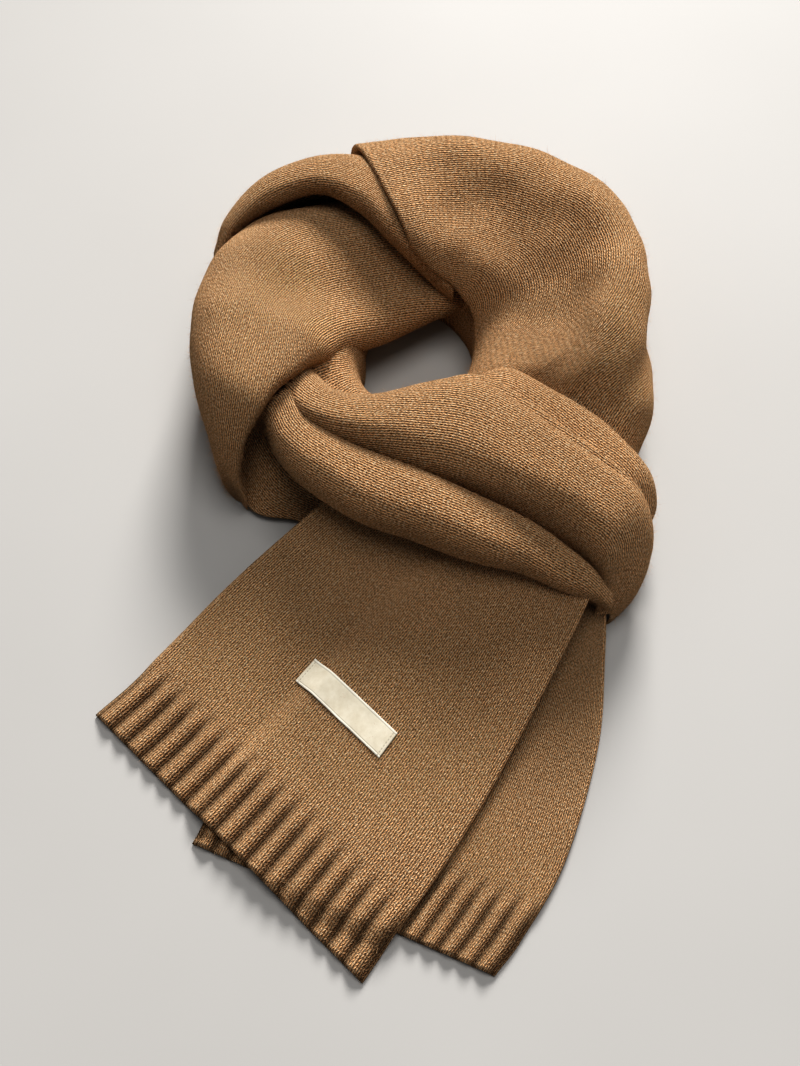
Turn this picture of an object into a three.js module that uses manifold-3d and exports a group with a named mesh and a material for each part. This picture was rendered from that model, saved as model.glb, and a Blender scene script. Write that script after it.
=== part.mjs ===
// A knit scarf wound into one loop with both ends pulled through it, lying on a flat surface.
// Millimetres, +Z up. The origin is on the surface, under the middle of the scarf's box; the two
// ends lie towards -Y. Each stretch of the scarf that shows is a wall of cloth of its own, worked
// out from sections across the strip: one table row for each section, one mesh for each stretch.
import * as THREE from 'three';
import { mergeVertices } from 'three/addons/utils/BufferGeometryUtils.js';
import Module from 'manifold-3d';

// Cloth
const WALL = 5; // two faces of a tube knitted double, lying flat on each other
const CLEARANCE = 0.35; // air between layers that touch
const RIBS = 17; // ribs across a hem, two stitches up and two down
const RIB_HEIGHT = 1.6;
const RIB_DEPTH = 40; // length of the ribbing, from the hem up
const COLUMNS_A_RIB = 3;
const HEM_STEPS = [0, 0.45, 0.9, 1.25, 1.5]; // sections along the ribbing, in table rows
const STEP_WIDTH = 18; // over which the upper end climbs the edge of the lower one
const STEP_TOP = 2; // how far outside that edge the climb is over
const RIB_FADE = [0.8, 1.1]; // where the ribs begin to fade and are gone, in rib depths

// Label
const LABEL_LONG = 70;
const LABEL_WIDE = 19;
const LABEL_THICK = 0.9;
const LABEL_ROUND = 0.27;
const LABEL_STEPS = [3, 8]; // across and along the label
const LABEL_SECTION = 5.95; // its middle, in the upper end's sections and columns
const LABEL_COLUMN = 26.5;

// The tables' own zero point lies here in the part's frame
const TABLE_X = -9.2;
const TABLE_Y = -3.3;

const wasm = await Module();
wasm.setup();

const camel = new THREE.Color().setRGB(0.56, 0.41, 0.27, THREE.SRGBColorSpace);
const cream = new THREE.Color().setRGB(0.9, 0.87, 0.8, THREE.SRGBColorSpace);

function cloth(shade = 1) {
  return new THREE.MeshStandardMaterial({
    color: camel.clone().multiplyScalar(shade), roughness: 0.95, metalness: 0,
  });
}

// Tables. Each row is one section across the strip, from its inner edge to its outer edge.
// A fold's section climbs from the inner edge to a crest and falls to its widest line, then
// tucks under as far as foot. Rise and fall below 1 make it full, above 1 hollow.
const FOLD_COLUMNS = ['inX', 'inY', 'inZ', 'outX', 'outY', 'outZ', 'foot', 'crestAt', 'crestZ', 'rise', 'fall'];
const FLAT_COLUMNS = ['leftX', 'leftY', 'leftZ', 'midZ', 'rightX', 'rightY', 'rightZ'];
const CORE_COLUMNS = ['turn', 'inner', 'outer', 'crestAt', 'top'];

// A crease runs from A to B, given as shares along and across its stretch. Its height is below 0
// where it is a trough.
const CREASE_COLUMNS = ['alongA', 'acrossA', 'alongB', 'acrossB', 'width', 'height'];

function table(columns, rows) {
  return rows.map((row) => Object.fromEntries(columns.map((name, k) => [name, row[k]])));
}

const ringLeft = table(FOLD_COLUMNS, [
  [53, 162, 30, 34, 238, 34, 0, 0.40, 50, 0.8, 0.7],
  [24, 145, 34, 0, 243, 34, 0, 0.46, 56, 0.8, 0.7],
  [-10, 124, 36, -44, 234, 36, 0, 0.52, 62, 0.8, 0.7],
  [-39, 105, 46, -90, 215, 40, 0, 0.50, 74, 0.8, 0.7],
  [-53, 89, 64, -121, 183, 42, 0, 0.42, 82, 0.8, 0.7],
  [-64, 73, 74, -134, 143, 42, 0, 0.32, 85, 0.8, 0.7],
  [-76, 59, 78, -136, 111, 40, 0, 0.27, 86, 0.8, 0.7],
  [-85, 42, 76, -132, 82, 38, 0, 0.22, 82, 0.8, 0.7],
  [-94, 31, 62, -124, 57, 33, 0, 0.18, 68, 0.8, 0.7],
  [-99, 21, 42, -118, 39, 24, 0, 0.20, 48, 0.8, 0.7],
  [-99, 17, 24, -113, 31, 14, 0, 0.26, 30, 0.8, 0.7],
  [-98, 16, 8, -106, 27, 5, 0, 0.30, 11, 0.8, 0.7],
]);

const ringTop = table(FOLD_COLUMNS, [
  [34, 153, 46, 36, 258, 36, 0, 0.35, 62, 0.7, 0.7],
  [13, 166, 60, 13, 260, 36, 0, 0.32, 76, 0.7, 0.7],
  [-8, 182, 72, -6, 260, 36, 0, 0.28, 84, 0.7, 0.7],
  [-27, 203, 76, -28, 258, 38, 0, 0.25, 86, 0.7, 0.7],
  [-55, 217, 78, -62, 252, 38, 0, 0.25, 86, 0.7, 0.7],
  [-88, 209, 74, -98, 232, 38, 0, 0.25, 80, 0.7, 0.7],
  [-112, 194, 62, -119, 210, 32, 0, 0.25, 66, 0.7, 0.7],
  [-118, 184, 46, -127, 195, 24, 0, 0.3, 50, 0.7, 0.7],
]);

const ringRight = table(FOLD_COLUMNS, [
  [33, 66, 26, 134, 8, 16, 0, 0.30, 48, 1.0, 0.7],
  [38, 85, 32, 150, 36, 24, 0, 0.28, 62, 1.1, 0.7],
  [43, 97, 36, 159, 61, 32, 0, 0.40, 77, 1.3, 0.65],
  [48, 116, 36, 162, 87, 36, 0, 0.58, 85, 1.5, 0.6],
  [49, 131, 36, 162, 118, 38, 0, 0.72, 87, 1.5, 0.6],
  [48, 140, 40, 162, 149, 40, 0, 0.80, 88, 1.4, 0.6],
  [44, 146, 46, 160, 183, 40, 0, 0.82, 87, 1.2, 0.65],
  [38, 151, 52, 144, 221, 40, 0, 0.76, 88, 1.1, 0.65],
  [31, 155, 58, 101, 253, 40, 0, 0.72, 89, 1.1, 0.65],
  [23, 157, 64, 52, 268, 40, 0, 0.68, 90, 1.0, 0.65],
  [16, 162, 70, 6, 271, 40, 0, 0.58, 90, 0.9, 0.7],
  [8, 170, 74, -33, 267, 42, 0, 0.48, 89, 0.8, 0.7],
]);

const bandUpper = table(FOLD_COLUMNS, [
  [-55, 91, 40, -75, 70, 46, 36, 0.75, 64, 0.7, 0.7],
  [-38, 69, 44, -60, 44, 56, 46, 0.70, 75, 0.7, 0.7],
  [-14, 61, 50, -36, 27, 60, 50, 0.62, 82, 0.7, 0.7],
  [16, 66, 60, -4, 14, 60, 50, 0.56, 87, 0.7, 0.7],
  [47, 66, 74, 27, 2, 60, 50, 0.55, 90, 0.7, 0.7],
  [72, 50, 78, 54, -10, 57, 47, 0.52, 90, 0.7, 0.7],
  [97, 29, 78, 79, -23, 53, 43, 0.52, 88, 0.7, 0.7],
  [121, 11, 74, 104, -37, 46, 36, 0.50, 82, 0.7, 0.7],
  [144, -4, 58, 116, -46, 40, 30, 0.45, 72, 0.7, 0.7],
  [154, -19, 38, 121, -52, 33, 23, 0.42, 57, 0.7, 0.7],
  [153, -35, 24, 121, -57, 27, 15, 0.42, 44, 0.7, 0.7],
  [145, -50, 14, 119, -61, 20, 9, 0.45, 33, 0.7, 0.7],
  [132, -62, 9, 117, -66, 13, 5, 0.50, 20, 0.7, 0.7],
]);

const bandBack = table(FOLD_COLUMNS, [
  [28, 52, 58, 38, 74, 56, 48, 0.6, 64, 0.8, 0.7],
  [52, 44, 66, 68, 82, 64, 54, 0.6, 72, 0.8, 0.7],
  [78, 26, 68, 98, 64, 62, 52, 0.6, 72, 0.8, 0.7],
  [102, 8, 62, 130, 42, 56, 46, 0.6, 67, 0.8, 0.7],
  [122, -8, 50, 155, 20, 42, 20, 0.6, 57, 0.8, 0.7],
  [130, -18, 36, 160, 3, 28, 6, 0.6, 42, 0.8, 0.7],
  [130, -28, 20, 152, -10, 14, 0, 0.6, 24, 0.8, 0.7],
]);

const bandLower = table(FOLD_COLUMNS, [
  [-84, 71, 44, -96, 56, 34, 26, 0.45, 52, 0.7, 0.7],
  [-67, 69, 52, -87, 49, 42, 34, 0.45, 67, 0.7, 0.7],
  [-55, 47, 56, -75, 25, 48, 40, 0.48, 72, 0.7, 0.7],
  [-33, 30, 56, -58, 4, 50, 42, 0.50, 75, 0.7, 0.7],
  [-1, 15, 56, -24, -20, 52, 44, 0.50, 76, 0.7, 0.7],
  [28, 2, 56, 11, -34, 52, 44, 0.52, 75, 0.7, 0.7],
  [55, -10, 54, 41, -45, 52, 44, 0.52, 72, 0.7, 0.7],
  [80, -23, 50, 70, -53, 50, 42, 0.52, 66, 0.7, 0.7],
  [103, -38, 42, 95, -61, 44, 36, 0.52, 57, 0.7, 0.7],
  [118, -48, 34, 112, -64, 36, 28, 0.50, 47, 0.7, 0.7],
  [128, -57, 26, 125, -66, 28, 20, 0.50, 34, 0.7, 0.7],
]);

const tailFront = table(FLAT_COLUMNS, [
  [-179, -124, 5, 5, -21, -276, 5],
  [-160, -105, 5, 5, -6, -255, 5],
  [-134, -75, 6, 6, 16, -226, 5],
  [-107, -47, 13, 9, 40, -190, 6],
  [-73, -18, 25, 18, 63, -151, 10],
  [-40, 8, 36, 30, 85, -112, 19],
  [-12, 30, 40, 38, 104, -77, 30],
  [6, 46, 41, 41, 116, -53, 37],
]);

const tailRear = table(FLAT_COLUMNS, [
  [-116, -201, 5, 5, 51, -273, 5],
  [-103, -177, 5, 5, 66, -254, 5],
  [-65, -135, 5, 5, 92, -211, 5],
  [-24, -90, 5, 6, 115, -143, 6],
  [25, -46, 8, 13, 122, -88, 11],
  [58, -20, 14, 20, 124, -58, 18],
]);

const bandReturn = table(FLAT_COLUMNS, [
  [-88, 60, 40, 30, -112, 44, 8],
  [-79, 44, 36, 26, -99, 20, 7],
  [-66, 29, 30, 20, -88, 11, 6],
  [-44, 18, 22, 14, -66, 7, 6],
  [-20, 12, 14, 10, -42, -2, 6],
]);

// The hidden layers, turned round the middle of the hole
const HOLE_X = 12;
const HOLE_Y = 118;
const core = table(CORE_COLUMNS, [
  [0, 36, 132, 0.60, 50],
  [45, 43, 138, 0.58, 52],
  [90, 53, 126, 0.50, 56],
  [135, 42, 104, 0.50, 54],
  [180, 34, 116, 0.50, 60],
  [215, 42, 92, 0.50, 52],
  [245, 44, 96, 0.55, 54],
  [270, 44, 112, 0.55, 60],
  [300, 40, 122, 0.55, 60],
  [330, 38, 126, 0.55, 50],
]);

const creases = {
  ring_left: table(CREASE_COLUMNS, [
    [0.02, 0.27, 0.32, 0.33, 48, -9],
    [0.30, 0.12, 0.47, 0.46, 30, 3],
    [0.44, 0.95, 0.50, 0.78, 36, -3],
    [0.68, 0.95, 0.70, 0.76, 34, -3],
  ]),
  ring_top: table(CREASE_COLUMNS, [
    [0.38, 0.94, 0.44, 0.74, 34, -3],
  ]),
  ring_right: table(CREASE_COLUMNS, [
    [0.14, 0.29, 0.80, 0.27, 62, -11],
    [0.16, 0.44, 0.62, 0.50, 24, 4],
    [0.38, 0.72, 0.15, 0.58, 26, -4],
    [0.50, 0.98, 0.52, 0.84, 30, -3],
    [0.72, 0.98, 0.70, 0.84, 30, -3],
    [0.88, 0.98, 0.86, 0.84, 30, -3],
  ]),
  band_back: table(CREASE_COLUMNS, [
    [0.62, 0.80, 0.80, 0.45, 26, -2],
  ]),
};

const LIP_BACK = 9; // how far a folded edge turns under, back and down
const LIP_DROP = 12;
const FOOT_BACK = 16; // how far a fold's foot turns in under it
const FOOT_SHARE = 0.35; // most of a fold's width that its foot takes
const RUN_OUT = 0.22; // most of a fold's width that its lip or its wall takes, where it runs out
const END_ROUND = 0.45; // how far a wall's rounded edge stands out, in walls
const HEM_ROUND = 0.4;

// Points worked out on a section, before they are spaced evenly
const LIP_STEPS = 8;
const RISE_STEPS = 24;
const FALL_STEPS = 30;
const FOOT_STEPS = 12;
const FLAT_STEPS = 40;

// Sections and columns of each net, and whether its inner edge is a folded lip
const FOLD_NETS = {
  ring_left: [ringLeft, true, 20, 13],
  ring_top: [ringTop, true, 12, 12],
  ring_right: [ringRight, false, 22, 13],
  band_upper: [bandUpper, true, 20, 11],
  band_back: [bandBack, false, 11, 7],
  band_lower: [bandLower, false, 16, 8],
};
const RETURN_SECTIONS = 6;
const RETURN_COLUMNS = 4;
const CORE_TURNS = 28;
const CORE_ROUND = 10;
const CORE_FULL = 0.7; // below 1 makes the hidden layers' section full
const LAYER_GROOVE = 2; // between the layers, round the hole

// Smooth curve through the table rows, taken a share of the way along
function rowAt(rows, u, closed = false) {
  const last = rows.length - 1;
  const k = closed ? Math.floor(u) : Math.min(Math.floor(u), last - 1);
  const t = u - k;
  const pick = (n) => (closed ? rows[(n + rows.length) % rows.length] : rows[THREE.MathUtils.clamp(n, 0, last)]);
  const [a, b, c, d] = [pick(k - 1), pick(k), pick(k + 1), pick(k + 2)];
  const row = {};
  for (const name of Object.keys(b)) {
    const before = !closed && k === 0 ? 2 * b[name] - c[name] : a[name];
    const after = !closed && k + 2 > last ? 2 * c[name] - b[name] : d[name];
    const slopeIn = (c[name] - before) / 2;
    const slopeOut = (after - b[name]) / 2;
    row[name] = (2 * t ** 3 - 3 * t ** 2 + 1) * b[name] + (t ** 3 - 2 * t ** 2 + t) * slopeIn
      + (3 * t ** 2 - 2 * t ** 3) * c[name] + (t ** 3 - t ** 2) * slopeOut;
  }
  return row;
}

function quarter(steps, make) {
  return Array.from({ length: steps }, (_, k) => make(((k + 1) / steps) * (Math.PI / 2)));
}

// Points of one fold's section: folded edge, climb, fall and tucked foot
function foldSection(row, lip) {
  const across = new THREE.Vector2(row.outX - row.inX, row.outY - row.inY);
  const width = across.length();
  const profile = [];
  if (lip) {
    const lipBack = Math.min(LIP_BACK / width, RUN_OUT);
    profile.push(...quarter(LIP_STEPS, (a) => [lipBack * (1 - Math.cos(a)), row.inZ - LIP_DROP * Math.sin(a)]).reverse());
  }
  profile.push([0, row.inZ]);
  profile.push(...quarter(RISE_STEPS, (a) => [
    row.crestAt * (1 - Math.abs(Math.cos(a)) ** row.rise),
    row.inZ + (row.crestZ - row.inZ) * Math.sin(a) ** row.rise,
  ]));
  profile.push(...quarter(FALL_STEPS, (a) => [
    row.crestAt + (1 - row.crestAt) * Math.sin(a) ** row.fall,
    row.outZ + (row.crestZ - row.outZ) * Math.abs(Math.cos(a)) ** row.fall,
  ]));
  const drop = row.outZ - Math.max(row.foot, 0);
  const back = Math.min(FOOT_BACK, FOOT_SHARE * width, drop);
  profile.push(...quarter(FOOT_STEPS, (a) => [1 - back / width * (1 - Math.cos(a)), row.outZ - drop * Math.sin(a)]));
  return profile.map(([f, z]) => new THREE.Vector3(row.inX + across.x * f, row.inY + across.y * f, z));
}

// Points of one section of an end that lies flat
function flatSection(row) {
  const lift = row.midZ - (row.leftZ + row.rightZ) / 2;
  return Array.from({ length: FLAT_STEPS + 1 }, (_, k) => {
    const v = k / FLAT_STEPS;
    return new THREE.Vector3(
      THREE.MathUtils.lerp(row.leftX, row.rightX, v),
      THREE.MathUtils.lerp(row.leftY, row.rightY, v),
      THREE.MathUtils.lerp(row.leftZ, row.rightZ, v) + lift * 4 * v * (1 - v),
    );
  });
}

// The same line with its points evenly spaced
function evenly(points, count) {
  const reach = [0];
  for (let k = 1; k < points.length; k += 1) reach.push(reach[k - 1] + points[k].distanceTo(points[k - 1]));
  const total = reach[reach.length - 1];
  const out = [];
  let k = 1;
  for (let n = 0; n < count; n += 1) {
    const want = (total * n) / (count - 1);
    while (k < points.length - 1 && reach[k] < want) k += 1;
    const t = THREE.MathUtils.clamp((want - reach[k - 1]) / (reach[k] - reach[k - 1]), 0, 1);
    out.push(points[k - 1].clone().lerp(points[k], t));
  }
  return out;
}

// A net of points over a stretch: sections along it, columns across it, with each section's span
// from its inner edge to its outer edge as seen from above
function net(rows, makeSection, spanOf, sections, columns) {
  const places = Array.from({ length: sections + 1 }, (_, k) => rowAt(rows, (k / sections) * (rows.length - 1)));
  return { points: places.map((row) => evenly(makeSection(row), columns + 1)), spans: places.map(spanOf) };
}

function foldSpan(row) {
  return new THREE.Vector2(row.outX - row.inX, row.outY - row.inY);
}

function flatSpan(row) {
  return new THREE.Vector2(row.rightX - row.leftX, row.rightY - row.leftY);
}

// Directions out of the cloth, each within the plane of its own section
function sectionNormals(points, spans) {
  const columns = points[0].length - 1;
  return points.map((line, i) => {
    const outward = spans[i].clone().normalize();
    return line.map((_, j) => {
      const step = line[Math.min(j + 1, columns)].clone().sub(line[Math.max(j - 1, 0)]);
      const level = step.x * outward.x + step.y * outward.y;
      return new THREE.Vector3(-step.z * outward.x, -step.z * outward.y, level).normalize();
    });
  });
}

function pressCreases({ points, spans }, rows) {
  const normals = sectionNormals(points, spans);
  const [sections, columns] = [points.length - 1, points[0].length - 1];
  const middle = points[Math.round(sections / 2)];
  const long = lengthOf(points.map((line) => line[Math.round(columns / 2)]));
  const wide = lengthOf(middle);
  const lift = (i, j) => rows.reduce((sum, crease) => {
    const from = new THREE.Vector2(crease.alongA * long, crease.acrossA * wide);
    const to = new THREE.Vector2(crease.alongB * long, crease.acrossB * wide);
    const at = new THREE.Vector2((i / sections) * long, (j / columns) * wide);
    const line = to.clone().sub(from);
    const t = THREE.MathUtils.clamp(at.clone().sub(from).dot(line) / line.lengthSq(), 0, 1);
    const away = at.distanceTo(from.addScaledVector(line, t));
    return sum + crease.height * Math.exp(-((away / (crease.width / 2)) ** 2));
  }, 0);
  const pressed = points.map((line, i) => line.map((p, j) => p.clone().addScaledVector(normals[i][j], lift(i, j))));
  return { points: pressed, spans };
}

function lengthOf(line) {
  return line.slice(1).reduce((sum, p, k) => sum + p.distanceTo(line[k]), 0);
}

// Closed wall between an outer and an inner net, with its four edges rounded. The inner net may
// leave out columns: it then has one for every few of the outer net's.
function wallBetween(outer, inner, round, lowest = 0, every = 1) {
  const rows = outer.length - 1;
  const columns = outer[0].length - 1;
  const positions = [];
  const faces = [];
  const add = (p) => positions.push(p.x, p.y, Math.max(p.z, lowest)) / 3 - 1;
  const face = (a, b, c) => faces.push(a, b, c);
  const quad = (a, b, c, d) => {
    face(a, b, c);
    face(a, c, d);
  };
  const out = outer.map((line) => line.map(add));
  const inn = inner.map((line) => line.map(add));
  const middle = (i, j) => outer[i][j].clone().add(inner[i][j]).multiplyScalar(0.5);
  const edgePoint = (i, j, nextI, nextJ) => {
    const away = middle(i, j).sub(middle(nextI, nextJ)).setLength(round);
    return add(middle(i, j).add(away));
  };
  for (let i = 0; i < rows; i += 1) {
    for (let j = 0; j < columns; j += 1) {
      quad(out[i][j], out[i + 1][j], out[i + 1][j + 1], out[i][j + 1]);
    }
    for (let j = 0; j < columns; j += every) {
      quad(inn[i][j], inn[i][j + every], inn[i + 1][j + every], inn[i + 1][j]);
    }
  }
  const near = outer.map((_, i) => edgePoint(i, 0, i, 1));
  const far = outer.map((_, i) => edgePoint(i, columns, i, columns - 1));
  for (let i = 0; i < rows; i += 1) {
    quad(out[i + 1][0], out[i][0], near[i], near[i + 1]);
    quad(near[i + 1], near[i], inn[i][0], inn[i + 1][0]);
    quad(out[i][columns], out[i + 1][columns], far[i + 1], far[i]);
    quad(far[i], far[i + 1], inn[i + 1][columns], inn[i][columns]);
  }
  const start = outer[0].map((_, j) => edgePoint(0, j, 1, j));
  const end = outer[0].map((_, j) => edgePoint(rows, j, rows - 1, j));
  for (let j = 0; j < columns; j += 1) {
    const from = j - (j % every);
    quad(out[0][j], out[0][j + 1], start[j + 1], start[j]);
    quad(out[rows][j + 1], out[rows][j], end[j], end[j + 1]);
    face(start[j], start[j + 1], inn[0][from]);
    face(end[j + 1], end[j], inn[rows][from]);
    if (j + 1 === from + every) {
      face(start[j + 1], inn[0][j + 1], inn[0][from]);
      face(inn[rows][j + 1], end[j + 1], inn[rows][from]);
    }
  }
  face(out[0][0], start[0], near[0]);
  face(start[0], inn[0][0], near[0]);
  face(start[columns], out[0][columns], far[0]);
  face(inn[0][columns], start[columns], far[0]);
  face(end[0], out[rows][0], near[rows]);
  face(inn[rows][0], end[0], near[rows]);
  face(out[rows][columns], end[columns], far[rows]);
  face(end[columns], inn[rows][columns], far[rows]);
  return facingOut(positions, faces);
}

function facingOut(positions, faces) {
  let volume = 0;
  const [a, b, c] = [new THREE.Vector3(), new THREE.Vector3(), new THREE.Vector3()];
  for (let k = 0; k < faces.length; k += 3) {
    a.fromArray(positions, faces[k] * 3);
    b.fromArray(positions, faces[k + 1] * 3);
    c.fromArray(positions, faces[k + 2] * 3);
    volume += a.dot(b.cross(c));
  }
  if (volume < 0) {
    for (let k = 0; k < faces.length; k += 3) [faces[k], faces[k + 1]] = [faces[k + 1], faces[k]];
  }
  const geometry = new THREE.BufferGeometry();
  geometry.setAttribute('position', new THREE.Float32BufferAttribute(positions, 3));
  geometry.setIndex(faces);
  return geometry;
}

function solidOf(geometry) {
  const merged = mergeVertices(geometry, 1e-3);
  return new wasm.Manifold(new wasm.Mesh({
    numProp: 3,
    vertProperties: new Float32Array(merged.attributes.position.array),
    triVerts: new Uint32Array(merged.index.array),
  }));
}

function geometryOf(solid) {
  const mesh = solid.getMesh();
  const geometry = new THREE.BufferGeometry();
  geometry.setAttribute('position', new THREE.Float32BufferAttribute(mesh.vertProperties, 3));
  geometry.setIndex(Array.from(mesh.triVerts));
  return geometry;
}

// One stretch of folded cloth; grow widens it all round, to cut what lies against it
function foldWall({ points, spans }, grow = 0) {
  const normals = sectionNormals(points, spans);
  const moved = (distances) => points.map((line, i) => (
    line.map((p, j) => p.clone().addScaledVector(normals[i][j], distances[i]))));
  const outer = moved(spans.map(() => grow));
  const inner = moved(spans.map((span) => -Math.min(WALL, RUN_OUT * span.length()) - grow));
  return solidOf(wallBetween(outer, inner, WALL * END_ROUND + grow, -grow));
}

// How far a point lies inside the left edge of the lower end
function insideRear(p) {
  let best = Infinity;
  let side = 1;
  for (let k = 0; k + 1 < tailRear.length; k += 1) {
    const a = new THREE.Vector2(tailRear[k].leftX, tailRear[k].leftY);
    const b = new THREE.Vector2(tailRear[k + 1].leftX, tailRear[k + 1].leftY);
    const ab = b.clone().sub(a);
    const ap = new THREE.Vector2(p.x, p.y).sub(a);
    const t = THREE.MathUtils.clamp(ap.dot(ab) / ab.lengthSq(), 0, 1);
    const away = ap.clone().addScaledVector(ab, -t);
    if (away.length() < best) {
      best = away.length();
      side = Math.sign(ab.x * ap.y - ab.y * ap.x);
    }
  }
  const hem = new THREE.Vector2(tailRear[0].rightX - tailRear[0].leftX, tailRear[0].rightY - tailRear[0].leftY);
  const fromHem = new THREE.Vector2(p.x - tailRear[0].leftX, p.y - tailRear[0].leftY).cross(hem) / hem.length();
  return Math.min(-side * best, -fromHem);
}

// The upper end climbs over the lower one by a wall and the clearance
function climb(points) {
  for (const line of points) {
    for (const p of line) {
      p.z += (WALL + CLEARANCE) * THREE.MathUtils.smoothstep(insideRear(p), -STEP_WIDTH, -STEP_TOP);
    }
  }
  return points;
}

// Ribs across the hem, fading out up the cloth
function ribHeight(fromHem, across) {
  const fade = 1 - THREE.MathUtils.smoothstep(fromHem, RIB_DEPTH * RIB_FADE[0], RIB_DEPTH * RIB_FADE[1]);
  return RIB_HEIGHT * fade * (0.5 - 0.5 * Math.cos(across * RIBS * 2 * Math.PI));
}

function tailWall({ points }, grow = 0) {
  const columns = points[0].length - 1;
  const outer = points.map((line) => line.map((p, j) => {
    const fromHem = p.distanceTo(points[0][j]);
    return new THREE.Vector3(p.x, p.y, p.z + ribHeight(fromHem, j / columns) + grow);
  }));
  const inner = points.map((line) => line.map((p) => new THREE.Vector3(p.x, p.y, p.z - WALL - grow)));
  return solidOf(wallBetween(outer, inner, WALL * HEM_ROUND + grow, -grow, COLUMNS_A_RIB));
}

// An end's sections lie closer together along the ribs than up the cloth
function tailNet(rows) {
  const last = rows.length - 1;
  const steps = [...HEM_STEPS, ...Array.from({ length: last - 1 }, (_, k) => k + 2)];
  return steps.map((u) => evenly(flatSection(rowAt(rows, u)), RIBS * COLUMNS_A_RIB + 1));
}

// The rounded solid of the layers that don't show, open at the hole
function coreSolid() {
  const positions = [];
  const faces = [];
  for (let i = 0; i < CORE_TURNS; i += 1) {
    const share = (i / CORE_TURNS) * core.length;
    const row = rowAt(core, share, true);
    const k = Math.floor(share);
    const next = k + 1 < core.length ? core[k + 1].turn : 360;
    const turn = THREE.MathUtils.degToRad(THREE.MathUtils.lerp(core[k].turn, next, share - k));
    for (let j = 0; j < CORE_ROUND; j += 1) {
      const a = (j / (CORE_ROUND - 1)) * Math.PI;
      const crest = THREE.MathUtils.lerp(row.inner, row.outer, row.crestAt);
      const half = a < Math.PI / 2 ? crest - row.inner : row.outer - crest;
      const groove = a < Math.PI / 2 && j % 2 === 0 ? LAYER_GROOVE : 0;
      const r = crest - half * Math.sign(Math.cos(a)) * Math.abs(Math.cos(a)) ** CORE_FULL + groove;
      positions.push(HOLE_X + r * Math.cos(turn), HOLE_Y + r * Math.sin(turn), row.top * Math.sin(a) ** CORE_FULL);
    }
  }
  for (let i = 0; i < CORE_TURNS; i += 1) {
    const n = (i + 1) % CORE_TURNS;
    for (let j = 0; j < CORE_ROUND; j += 1) {
      const m = (j + 1) % CORE_ROUND;
      faces.push(i * CORE_ROUND + j, i * CORE_ROUND + m, n * CORE_ROUND + m);
      faces.push(i * CORE_ROUND + j, n * CORE_ROUND + m, n * CORE_ROUND + j);
    }
  }
  return solidOf(facingOut(positions, faces));
}

// A net's point at a place between its sections and columns
function netPoint(points, i, j) {
  const [a, b] = [Math.min(Math.floor(i), points.length - 2), Math.min(Math.floor(j), points[0].length - 2)];
  const near = points[a][b].clone().lerp(points[a][b + 1], j - b);
  const far = points[a + 1][b].clone().lerp(points[a + 1][b + 1], j - b);
  return near.lerp(far, i - a);
}

// The woven label, made from the upper end's own points, moved out
function labelSolid(points) {
  const centre = netPoint(points, LABEL_SECTION, LABEL_COLUMN);
  const across = netPoint(points, LABEL_SECTION, LABEL_COLUMN + 1).sub(centre).length();
  const along = netPoint(points, LABEL_SECTION + 1, LABEL_COLUMN).sub(centre).length();
  const [wide, long] = LABEL_STEPS;
  const layer = (lift) => Array.from({ length: wide + 1 }, (_, i) => Array.from({ length: long + 1 }, (__, j) => {
    const p = netPoint(
      points,
      LABEL_SECTION + (LABEL_WIDE * (i / wide - 0.5)) / along,
      LABEL_COLUMN + (LABEL_LONG * (j / long - 0.5)) / across,
    );
    p.z += lift;
    return p;
  }));
  const slab = solidOf(wallBetween(layer(CLEARANCE + LABEL_THICK), layer(-LABEL_THICK), LABEL_ROUND));
  return largest(slab.subtract(grown.tail_front));
}

function largest(solid) {
  const bodies = solid.decompose();
  return bodies.reduce((best, body) => (body.volume() > best.volume() ? body : best));
}

// The stretches, as nets, with what lies over each
const nets = {};
for (const [name, [rows, lip, sections, columns]] of Object.entries(FOLD_NETS)) {
  const plain = net(rows, (row) => foldSection(row, lip), foldSpan, sections, columns);
  nets[name] = pressCreases(plain, creases[name] ?? []);
}
nets.band_return = net(bandReturn, flatSection, flatSpan, RETURN_SECTIONS, RETURN_COLUMNS);
nets.tail_front = { points: climb(tailNet(tailFront)) };
nets.tail_rear = { points: tailNet(tailRear) };
const OVER = {
  ring_left: ['ring_top', 'ring_right'],
  ring_top: ['ring_right'],
  ring_right: ['band_upper', 'band_back'],
  band_back: ['band_upper'],
  band_upper: ['ring_left'],
  band_lower: ['ring_left', 'band_upper', 'band_back'],
  band_return: ['ring_left', 'band_lower', 'band_upper', 'tail_front'],
  tail_front: ['band_upper', 'band_back', 'band_lower'],
  tail_rear: ['tail_front', 'band_upper', 'band_back', 'band_lower', 'band_return'],
};

function stretch(name, grow = 0) {
  return name.startsWith('tail') ? tailWall(nets[name], grow) : foldWall(nets[name], grow);
}

const grown = Object.fromEntries(Object.keys(nets).map((name) => [name, stretch(name, CLEARANCE)]));
const solids = {};
for (const name of Object.keys(nets)) {
  let solid = stretch(name);
  for (const upper of OVER[name]) solid = solid.subtract(grown[upper]);
  solids[name] = largest(solid);
}
let hidden = coreSolid();
for (const name of Object.keys(nets)) hidden = hidden.subtract(stretch(name, 2 * CLEARANCE));
solids.core = largest(hidden);
solids.label = labelSolid(nets.tail_front.points);

const SHADES = {
  ring_left: 0.95, ring_top: 0.9, ring_right: 1, band_upper: 1.05, band_back: 1, band_lower: 1,
  band_return: 0.8, tail_front: 0.95, tail_rear: 0.85, core: 0.75,
};
const scarf = new THREE.Group();
for (const [name, solid] of Object.entries(solids)) {
  const material = name === 'label'
    ? new THREE.MeshStandardMaterial({ color: cream, roughness: 0.8, metalness: 0 })
    : cloth(SHADES[name]);
  const mesh = new THREE.Mesh(geometryOf(solid), material);
  mesh.name = name;
  mesh.position.set(-TABLE_X, -TABLE_Y, 0);
  scarf.add(mesh);
}

export default scarf;
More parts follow.
